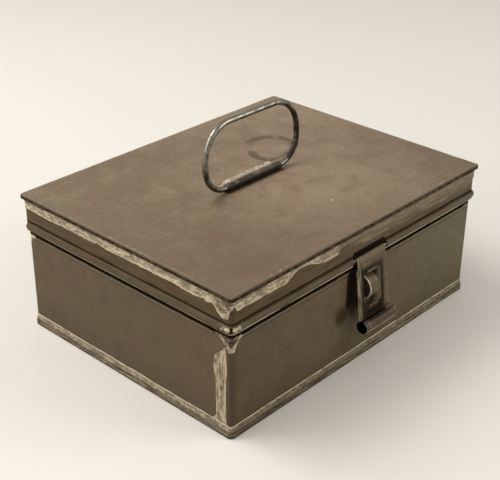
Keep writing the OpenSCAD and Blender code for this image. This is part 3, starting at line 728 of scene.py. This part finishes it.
@cache
def fitting_tin():
    """Lacquered tin of the hasp, staple and hinges, worn to bright metal along its edges."""
    coat = Finish("fitting_tin", 0.28)
    x, y, z = coat.axes(coat.place)
    clouds = coat.noise(60, 3, 0.6, 0.4)
    grain = coat.noise(620, 2, 0.5)
    coat.ground(clouds.ramp(0.4, 0.66) * 0.5, "wall", "wall_pale_and_highlight")
    streaks = coat.noise(160, 4, 0.65, stretch=(4, 1, 0.5))
    coat.lay(streaks.ramp(0.5, 0.68) * 0.55, "wall_dark_and_shade")
    border = x.ramp(HASP_LOW.x + 0.0064, HASP_LOW.x + 0.0052) * y.ramp(PLATE_Y + 0.0005, PLATE_Y)
    lines = coat.noise(300, 2, 0.5, stretch=(2.2, 1, 0.2))
    coat.lay(border * lines.ramp(0.5, 0.42) * 0.6, "solder")
    coat.lay(border * lines.ramp(0.51, 0.58) * 0.9, "wall_dark_and_shade")
    # Painted shade round and in the opening
    near = x.band(*OPENING_X, 0.0018) * z.band(*OPENING_Z, 0.0022)
    near = near * y.ramp(PLATE_Y + 0.0014, PLATE_Y + 0.0008)
    clear = x.band(STAPLE_LOW.x - 0.0003, STAPLE_HIGH.x + 0.0003, 0.0001)
    clear = clear * z.band(STAPLE_LOW.z - 0.0002, STAPLE_HIGH.z + 0.0002, 0.0001)
    ring = near * (1.0 - clear) * (0.66 + clouds.ramp(0.34, 0.54) * 0.34)
    # Painted shade on the plate between its opening and the finger roll
    low = z.band(HASP_LOW.z + 0.0088, HASP_LOW.z + 0.015, 0.002) * y.ramp(PLATE_Y, PLATE_Y - 0.0005)
    low = low * x.ramp(HASP_LOW.x + 0.003, HASP_LOW.x + 0.007)
    low = low * x.ramp(HASP_HIGH.x - 0.002, HASP_HIGH.x - 0.008)
    # The finger roll with black painted shade in its bore, and a painted highlight on the roll round the rim
    # wire
    from_roll = (y - (HASP_LOW.y + ROLL_R)).distance(z - (HASP_LOW.z + ROLL_R))
    roll = from_roll.ramp(ROLL_R + 0.0006, ROLL_R + 0.0002)
    bore = from_roll.ramp(ROLL_R - 0.0002, ROLL_R - 0.0004)
    coat.lay(roll * 0.55, "wall_dark_and_shade")
    coat.lay(roll * clouds.ramp(0.4, 0.6) * 0.35, "rust")
    top_roll = z.ramp(0.079, 0.08) * y.ramp(PLATE_Y + 0.001, PLATE_Y + 0.0004)
    coat.lay(top_roll * 0.45, "wall_pale_and_highlight")
    # A painted highlight along the staple's edge
    crescent = x.band(STAPLE_LOW.x - 0.0002, STAPLE_HIGH.x + 0.0002, 0.0001)
    crescent = crescent * x.ramp(STAPLE_LOW.x + 0.0009, STAPLE_LOW.x + 0.0004)
    crescent = crescent * y.ramp(STAPLE_LOW.y - 0.0002, STAPLE_LOW.y)
    coat.lay(crescent * z.band(0.046, 0.0685, 0.001), "solder_pale_and_highlight")
    edge = coat.worn_edge(0.0005)
    rubbed = coat.noise(160, 3, 0.6)
    coat.lay(edge * rubbed.ramp(0.3, 0.52) * 0.9, "tin")
    # A painted highlight along the finger roll's lower edge
    ridge = roll * z.band(HASP_LOW.z + 0.0009, HASP_LOW.z + 0.0028, 0.0004)
    coat.lay(ridge * y.ramp(HASP_LOW.y + ROLL_R, HASP_LOW.y + 0.004) * 0.9, "solder_pale_and_highlight")
    chips = fine_marks(coat, 0.6, 0.7, "tin")
    return coat.done(
        metal=0.15 + edge * 0.5 + chips * 0.4,
        rough=0.28 + clouds * 0.12 + grain * 0.08,
        reliefs=[(coat.noise(90, 2), 0.4, 0.0006), (grain, 0.12, 0.0002)],
        dirt_and_shade=(low * 0.9).most(bore).most(ring * 0.88),
    )


def dress(finish, *nodes):
    """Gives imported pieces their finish."""
    for name in nodes:
        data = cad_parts[name].data
        data.materials.clear()
        data.materials.append(finish())


class Sweep(Board):
    """A Geometry Nodes tree with named inputs: numbers, counts and the finish."""

    def __init__(self, name, numbers, counts=()):
        super().__init__(bpy.data.node_groups.new(name, "GeometryNodeTree"))
        kinds = {
            **dict.fromkeys(numbers, "NodeSocketFloat"),
            **dict.fromkeys(counts, "NodeSocketInt"),
            "Finish": "NodeSocketMaterial",
        }
        for label, kind in kinds.items():
            self.tree.interface.new_socket(label, in_out="INPUT", socket_type=kind)
        self.tree.interface.new_socket("Mesh", in_out="OUTPUT", socket_type="NodeSocketGeometry")
        self.inputs = self.node("NodeGroupInput")
        self.result = self.node("NodeGroupOutput")

    def sizes(self, *labels):
        """The tree's named inputs."""
        return [Value(self, self.inputs.outputs[label]) for label in labels]

    def combine(self, x=0.0, y=0.0, z=0.0):
        return self.node("ShaderNodeCombineXYZ", {0: x, 1: y, 2: z}).outputs[0]

    def vectors(self, operation, first, second):
        sockets = {0: first, "Scale" if operation == "SCALE" else 1: second}
        return self.node("ShaderNodeVectorMath", sockets, operation=operation).outputs[0]

    def grid(self, columns, rows):
        """A flat grid, and how far across and up it a point lies, each 0 to 1."""
        sizes = {"Size X": 1.0, "Size Y": 1.0, "Vertices X": columns, "Vertices Y": rows}
        made = self.node("GeometryNodeMeshGrid", sizes)
        across, up, _ = self.axes(self.node("GeometryNodeInputPosition").outputs[0])
        return made.outputs["Mesh"], (across + 0.5).clamped(), (up + 0.5).clamped()

    def moved(self, geometry, position, rise=None):
        """Moves the points, and keeps the number rise on them for the finish to read."""
        if rise is not None:
            kept = {"Geometry": geometry, "Name": "rise", "Value": rise}
            made = self.node("GeometryNodeStoreNamedAttribute", kept, data_type="FLOAT", domain="POINT")
            geometry = made.outputs[0]
        sockets = {"Geometry": geometry, "Position": position}
        return self.node("GeometryNodeSetPosition", sockets).outputs[0]

    def closed(self, geometry):
        """The closing steps of a tree: weld, smooth, realize, set the finish."""
        (finish,) = self.sizes("Finish")
        for kind, sockets in (
            ("GeometryNodeMergeByDistance", {"Distance": WELD}),
            ("GeometryNodeSetShadeSmooth", {}),
            ("GeometryNodeRealizeInstances", {}),
            ("GeometryNodeSetMaterial", {"Material": finish}),
        ):
            geometry = self.node(kind, {"Geometry": geometry, **sockets}).outputs[0]
        self.feed(self.result.inputs["Mesh"], geometry)
        return self.tree


RUN_NUMBERS = (
    "Length", "Width", "Corner", "Free Edge", "Root", "Thick", "Skin", "Lump",
    "Wave", "Ragged", "Waist", "Front End", "Drip", "Shaped", "Seed",
)
# Share of the run's section that climbs the outside before it goes down behind
CLIMB = 0.9


def solder_run_tree():
    """A closed band of solder round a rounded rectangle, thick at its root and wandering at its free edge."""
    tree = Sweep("solder_run", RUN_NUMBERS, ("Columns", "Rows"))
    length_x, width_y, corner, edge, root, thick, skin, lump = tree.sizes(*RUN_NUMBERS[:8])
    wave, rag, waist_x, end_x, blob, shape, seed = tree.sizes(*RUN_NUMBERS[8:])
    sides_of = {"Width": length_x, "Height": width_y}
    outline = tree.node("GeometryNodeCurvePrimitiveQuadrilateral", sides_of, mode="RECTANGLE")
    corners = {"Curve": outline.outputs[0], "Radius": corner, "Count": 10}
    rounded = tree.node("GeometryNodeFilletCurve", corners, mode="POLY")
    grid, along, section = tree.grid(*tree.sizes("Columns", "Rows"))
    route = {"Curves": rounded.outputs[0], "Factor": along}
    sample = tree.node("GeometryNodeSampleCurve", route, mode="FACTOR", use_all_curves=True)
    point = sample.outputs["Position"]
    outward = tree.vectors("CROSS_PRODUCT", sample.outputs["Tangent"], (0.0, 0.0, 1.0))
    fall = ((section - CLIMB) * 10.0).most(0.0)
    height = (section / CLIMB).least(1.0) - fall
    x, y, _ = tree.axes(point)
    from_left, from_front = x + length_x * 0.5, y + width_y * 0.5
    left, front = from_left.ramp(0.0006, 0.0002), from_front.ramp(0.0006, 0.0002)
    spread = tree.vectors("ADD", point, tree.combine(seed, seed, 0.0))
    lifted = tree.vectors("ADD", spread, tree.combine(0.0, 0.0, height * 0.01))
    ragged = tree.noise(260, 3, 0.6, place=spread) - 0.5
    waves = tree.noise(42, 2, 0.5, place=spread) - 0.5
    lumps = tree.noise(300, 3, 0.6, place=lifted)
    # How far the run reaches from its root to its full free edge: less at the waist, the end and the start
    from_waist = x - waist_x
    waist = from_waist.ramp(-0.016, -0.002) * from_waist.ramp(0.024, 0.002)
    after = (x - end_x).ramp(-0.0008, 0.0012)
    start = from_left.ramp(0.0052, 0.003)
    shaped = front * shape
    reach = 1.0 + shaped * 0.16 - shaped * waist * 0.74 - shaped * after * 0.62 - shaped * start * 0.5
    steady = 1.0 - shaped * 0.6 + left * from_front.ramp(0.075, 0.02) * shape * 0.9
    drip = left * from_front.ramp(0.0155, 0.008) * blob
    free = root + (edge - root) * (reach + (waves * wave + ragged * rag) * steady) - drip
    z = free + (root - free) * height
    bulge = height.math("POWER", 2.0) * (thick - skin) + skin
    ridge = height.band(0.06, 0.2, 0.06) * lump * 0.8
    off = bulge + ridge + (lumps - 0.48) * 2.0 * lump * height.ramp(0.0, 0.1)
    off = off * height.ramp(0.0, 0.03).most(0.05)
    behind = fall.math("GREATER_THAN", 0.0)
    off = off.most(0.00002) * (1.0 - behind) - behind * SUNK
    beside = tree.vectors("ADD", point, tree.vectors("SCALE", outward, off))
    return tree.closed(tree.moved(grid, tree.vectors("ADD", beside, tree.combine(0.0, 0.0, z)), height))


def seam_patch_tree():
    """A wavy strip of solder up the left wall beside the corner, with raised edges."""
    numbers = ("Wall", "Corner Y", "Bottom", "Top", "Near", "Far", "Thick", "Lump")
    tree = Sweep("seam_patch", numbers)
    wall, corner, bottom, top, near, far, thick, lump = tree.sizes(*numbers)
    grid, u, v = tree.grid(30, 110)
    z = bottom + (top - bottom) * v
    slow = tree.noise(70, 2, 0.5, place=tree.combine(0.0, 0.0, z)) - 0.5
    other = tree.noise(90, 2, 0.5, place=tree.combine(0.3, 0.0, z)) - 0.5
    fray = tree.noise(420, 3, 0.6, place=tree.combine(0.0, u * 0.004, z)) - 0.5
    belly = v.band(0.6, 0.84, 0.14)
    taper = v.ramp(0.84, 1.0)
    flare = v.ramp(0.07, 0.0)
    near = near - belly * 0.001 + slow * 0.0012 + fray * 0.0003 - flare * 0.0008
    far = far + belly * 0.002 - taper * 0.0072 + other * 0.0014 + fray * 0.0005 + flare * 0.003
    y = corner + near + (far - near) * u
    side = abs(u * 2.0 - 1.0)
    rim = side.band(0.78, 0.9, 0.08)
    sink = side.ramp(1.0, 0.94) * (v.ramp(0.0, 0.02) * v.ramp(1.0, 0.985))
    lumps = tree.noise(420, 3, 0.6, place=tree.combine(0.0, y * 1.6, z * 0.5))
    raised = (thick * (0.45 + rim * 0.75) + (lumps - 0.5) * 2.0 * lump).most(0.00008)
    out = raised * sink - (1.0 - sink) * SUNK
    face = tree.moved(grid, tree.combine(wall - out, y, z), ((1.0 - side) * 0.9).least(0.6))
    back = tree.moved(grid, tree.combine(wall + SUNK, y, z))
    both = tree.node("GeometryNodeJoinGeometry")
    for part in (face, back):
        tree.feed(both.inputs[0], part)
    return tree.closed(both.outputs[0])


def clip_fillet_tree():
    """A lumpy fillet of solder behind the handle's clip, tapering to its ends."""
    numbers = ("Start", "End", "Back", "Lid", "Deep", "Tall")
    tree = Sweep("clip_fillet", numbers)
    start, end, back, lid, deep, tall = tree.sizes(*numbers)
    grid, u, around = tree.grid(90, 33)
    turn = around * (2 * math.pi)
    x = start + (end - start) * u
    ends = (u.ramp(0.0, 0.05) * u.ramp(1.0, 0.94)).math("POWER", 0.5)
    slow = tree.noise(110, 2, 0.5, place=tree.combine(x, 0.4, 0.0)) - 0.5
    ring = tree.combine(x, turn.math("SINE") * 0.004, turn.math("COSINE") * 0.004)
    lumps = tree.noise(340, 3, 0.6, place=ring) - 0.5
    swell = (0.98 + slow * 0.55 + lumps * 0.3) * ends
    y = back + deep * turn.math("COSINE") * swell
    z = lid + (tall * turn.math("SINE") * swell).most(-0.0001)
    return tree.closed(tree.moved(grid, tree.combine(x, y, z), u * 0.0 + 0.3))


def grown(name, tree, values):
    """A piece of solder as a plain mesh object, from a Geometry Nodes tree and its named inputs."""
    seed_mesh = bpy.data.meshes.new(name + "_start")
    obj = bpy.data.objects.new(name, seed_mesh)
    bpy.context.scene.collection.objects.link(obj)
    modifier = obj.modifiers.new("sweep", "NODES")
    modifier.node_group = tree
    sockets = {item.name: item.identifier for item in tree.interface.items_tree if item.in_out == "INPUT"}
    for label, value in {**values, "Finish": soft_solder()}.items():
        modifier[sockets[label]] = value
    bpy.context.view_layer.update()
    shaped = obj.evaluated_get(bpy.context.evaluated_depsgraph_get())
    mesh = bpy.data.meshes.new_from_object(shaped)
    obj.modifiers.remove(modifier)
    obj.data = mesh
    bpy.data.meshes.remove(seed_mesh)
    if not mesh.polygons:
        raise RuntimeError(f"the tree {tree.name} gave no faces for {name}")
    # The piece is closed, so its faces are turned outward
    shape = bmesh.new()
    shape.from_mesh(mesh)
    bmesh.ops.recalc_face_normals(shape, faces=shape.faces)
    shape.to_mesh(mesh)
    shape.free()
    return obj


def run_values(outline, look):
    """The inputs of one solder run round an outline."""
    sizes = bpy.context.scene.deed_box_solder
    return {
        "Length": outline[0],
        "Width": outline[1],
        "Skin": sizes.skin,
        "Lump": sizes.lump,
        "Waist": sizes.waist_x,
        "Front End": sizes.front_end_x,
        "Columns": int(2 * sum(outline) / sizes.step) + 1,
        "Rows": 30,
        **look,
    }


class DEEDBOX_OT_body(bpy.types.Operator):
    """Finish the base and the walls"""

    bl_idname = "deedbox.body"
    bl_label = "Body"

    def execute(self, context):
        dress(pan_tin, "base_pan")
        dress(wall_lacquer, "wall_front_right", "wall_back_left")
        return {"FINISHED"}


class DEEDBOX_OT_lid(bpy.types.Operator):
    """Finish the lid panel, its rim strips and the wire in the rim"""

    bl_idname = "deedbox.lid"
    bl_label = "Lid"

    def execute(self, context):
        dress(lid_lacquer, "lid_panel")
        dress(rim_lacquer, "lid_rim_front_right", "lid_rim_back_left")
        dress(bare_wire, "rim_wire")
        return {"FINISHED"}


class DEEDBOX_OT_hinges(bpy.types.Operator):
    """Finish the hinge leaves, pins and rivets"""

    bl_idname = "deedbox.hinges"
    bl_label = "Hinges"

    def execute(self, context):
        for part in ("body", "lid"):
            dress(fitting_tin, f"{part}_hinge_leaf_left", f"{part}_hinge_leaf_right", f"{part}_hinge_rivets")
        dress(bare_wire, "hinge_pin_left", "hinge_pin_right")
        return {"FINISHED"}


class DEEDBOX_OT_fittings(bpy.types.Operator):
    """Finish the handle, its clip, the hasp and the staple"""

    bl_idname = "deedbox.fittings"
    bl_label = "Handle, Hasp and Staple"

    def execute(self, context):
        dress(bare_wire, "handle")
        dress(clip_tin, "handle_clip")
        dress(fitting_tin, "hasp", "staple")
        return {"FINISHED"}


class DEEDBOX_OT_solder(bpy.types.Operator):
    """Lay the lumpy solder along the base, under the lid edge and up the corner"""

    bl_idname = "deedbox.solder"
    bl_label = "Solder"

    def execute(self, context):
        run_tree = solder_run_tree()
        look = {"Free Edge": BASE_RUN_HIGH.z, "Root": BASE_RUN_LOW.z - 0.0002, "Corner": 2.2 * MM}
        look |= {"Thick": 0.001, "Wave": 0.35, "Ragged": 0.22, "Drip": 0.0, "Shaped": 0.0, "Seed": 0.31}
        base = grown("base_solder_run", run_tree, run_values(BODY_OUTLINE, look))
        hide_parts("base_solder")
        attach(base, "box")
        drip = context.scene.deed_box_solder.drip
        look = {"Free Edge": LID_RUN_LOW.z - 0.001, "Root": LID_RUN_HIGH.z, "Corner": 3.6 * MM}
        look |= {"Thick": 0.0011, "Wave": 0.42, "Ragged": 0.3, "Drip": drip, "Shaped": 1.0, "Seed": 0.77}
        lid = grown("lid_solder_run", run_tree, run_values(RIM_OUTLINE, look))
        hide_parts("lid_solder")
        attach(lid, "lid")
        look = {"Wall": SEAM_HIGH.x, "Corner Y": FRONT_FACE, "Near": 0.004, "Far": 0.013}
        look |= {"Bottom": SEAM_LOW.z - 0.0004, "Top": SEAM_HIGH.z + 0.0005, "Thick": 0.0006, "Lump": 0.00022}
        seam = grown("corner_solder_strip", seam_patch_tree(), look)
        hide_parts("corner_solder")
        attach(seam, "box")
        look = {"Start": CLIP_LOW.x + 0.0015, "End": CLIP_HIGH.x - 0.0025, "Lid": PANEL_HIGH.z}
        look |= {"Back": 0.0046, "Deep": 0.0041, "Tall": 0.0058}
        fillet = grown("clip_solder_fillet", clip_fillet_tree(), look)
        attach(fillet, "lid")
        return {"FINISHED"}


def camera_pose():
    """The camera's place and turn, from the angles fitted to the box's corners."""
    yaw, pitch, roll = (math.radians(angle) for angle in (CAMERA_YAW, CAMERA_PITCH, CAMERA_ROLL))
    ahead = Vector((math.sin(yaw) * math.cos(pitch), math.cos(yaw) * math.cos(pitch), -math.sin(pitch)))
    level = Vector((math.cos(yaw), -math.sin(yaw), 0))
    upright = level.cross(ahead)
    right = math.cos(roll) * level + math.sin(roll) * upright
    up = -math.sin(roll) * level + math.cos(roll) * upright
    turn = Matrix((right, up, -ahead)).transposed().to_4x4()
    return Matrix.Translation(CAMERA_AT) @ turn


def floor_paint(tone):
    """Matt paint with a faint cloudiness."""
    coat = Finish("floor_paint", 0.2, 0.85)
    cloud = coat.noise(3, 3, 0.5).ramp(0.3, 0.7) * 0.08
    coat.feed(coat.shader.inputs["Base Color"], coat.mixed(cloud, tone, (0.8, 0.78, 0.75)))
    return coat.material


def floor_and_wall():
    """A pale floor that curves up into a low backdrop all round, far away."""
    reach, rise, bend, turns = 6.0, 1.7, 1.0, 96
    profile = [(0.5, 0.0), (2.0, 0.0)]
    for step in range(13):
        turn = math.radians(90 * step / 12)
        profile.append((reach - bend + bend * math.sin(turn), bend - bend * math.cos(turn)))
    profile.append((reach, rise))
    count = len(profile)
    points = [(0.0, 0.0, 0.0)]
    faces = []
    for spoke in range(turns):
        angle = 2 * math.pi * spoke / turns
        points += [(out * math.cos(angle), out * math.sin(angle), up) for out, up in profile]
        first, other = 1 + spoke * count, 1 + (spoke + 1) % turns * count
        faces.append((0, first, other))
        faces += [(first + n, first + n + 1, other + n + 1, other + n) for n in range(count - 1)]
    mesh = bpy.data.meshes.new("floor")
    mesh.from_pydata(points, [], faces)
    for face in mesh.polygons:
        face.use_smooth = True
    mesh.materials.append(floor_paint(bpy.context.scene.deed_box_stage.floor))
    floor = bpy.data.objects.new("floor", mesh)
    bpy.context.scene.collection.objects.link(floor)


def area_light(name, place, target, size, watts, tint):
    data = bpy.data.lights.new(name, "AREA")
    data.shape = "RECTANGLE"
    data.size, data.size_y = size
    data.energy = watts
    data.color = tint
    light = bpy.data.objects.new(name, data)
    light.location = place
    light.rotation_euler = (Vector(target) - Vector(place)).to_track_quat("-Z", "Y").to_euler()
    bpy.context.scene.collection.objects.link(light)


class DEEDBOX_OT_stage(bpy.types.Operator):
    """Make the floor, the soft light and the camera"""

    bl_idname = "deedbox.stage"
    bl_label = "Stage"

    def execute(self, context):
        scene = context.scene
        look = scene.deed_box_stage
        scene.view_settings.view_transform = "Standard"
        floor_and_wall()
        area_light("key", (-0.55, 0.8, 1.25), (0, 0, 0.05), (1.1, 0.9), look.key, (1.0, 0.985, 0.96))
        area_light("side", (-1.3, 0.15, 0.7), (0, 0, 0.05), (0.9, 0.7), look.fill, (1.0, 0.98, 0.95))
        area_light("front", (0.75, -1.1, 0.8), (0, 0, 0.05), (0.9, 0.7), look.front, (1.0, 0.99, 0.97))
        world = bpy.data.worlds.new("sky")
        scene.world = world
        world.use_nodes = True
        world.node_tree.nodes.clear()
        board = Board(world.node_tree)
        even = board.node("ShaderNodeBackground", {"Color": (1.0, 0.985, 0.96), "Strength": look.sky})
        board.node("ShaderNodeOutputWorld", {"Surface": even.outputs[0]})
        data = bpy.data.cameras.new("photo_view")
        data.lens = LENS
        data.sensor_width = 36
        data.clip_start = 0.02
        camera = bpy.data.objects.new("photo_view", data)
        camera.matrix_world = camera_pose()
        scene.collection.objects.link(camera)
        scene.camera = camera
        return {"FINISHED"}


OPERATORS = [
    DEEDBOX_OT_stage,
    DEEDBOX_OT_body,
    DEEDBOX_OT_lid,
    DEEDBOX_OT_hinges,
    DEEDBOX_OT_fittings,
    DEEDBOX_OT_solder,
]


class DEEDBOX_PT_panel(bpy.types.Panel):
    """The steps that dress the box"""

    bl_idname = "DEEDBOX_PT_panel"
    bl_label = "Deed Box"
    bl_space_type = "VIEW_3D"
    bl_region_type = "UI"
    bl_category = "Deed Box"

    def draw(self, context):
        for operator in OPERATORS:
            self.layout.operator(operator.bl_idname)


GROUPS = {"deed_box_finish": BoxFinish, "deed_box_solder": SolderSize, "deed_box_stage": StageLook}
CLASSES = [*GROUPS.values(), *OPERATORS, DEEDBOX_PT_panel]


def register():
    for cls in CLASSES:
        bpy.utils.register_class(cls)
    for name, group in GROUPS.items():
        setattr(bpy.types.Scene, name, bpy.props.PointerProperty(type=group))


def unregister():
    for name in GROUPS:
        delattr(bpy.types.Scene, name)
    for cls in reversed(CLASSES):
        bpy.utils.unregister_class(cls)


def main():
    register()
    for step in ("stage", "body", "lid", "hinges", "fittings", "solder"):
        getattr(bpy.ops.deedbox, step)()


if __name__ == "__main__":
    main()
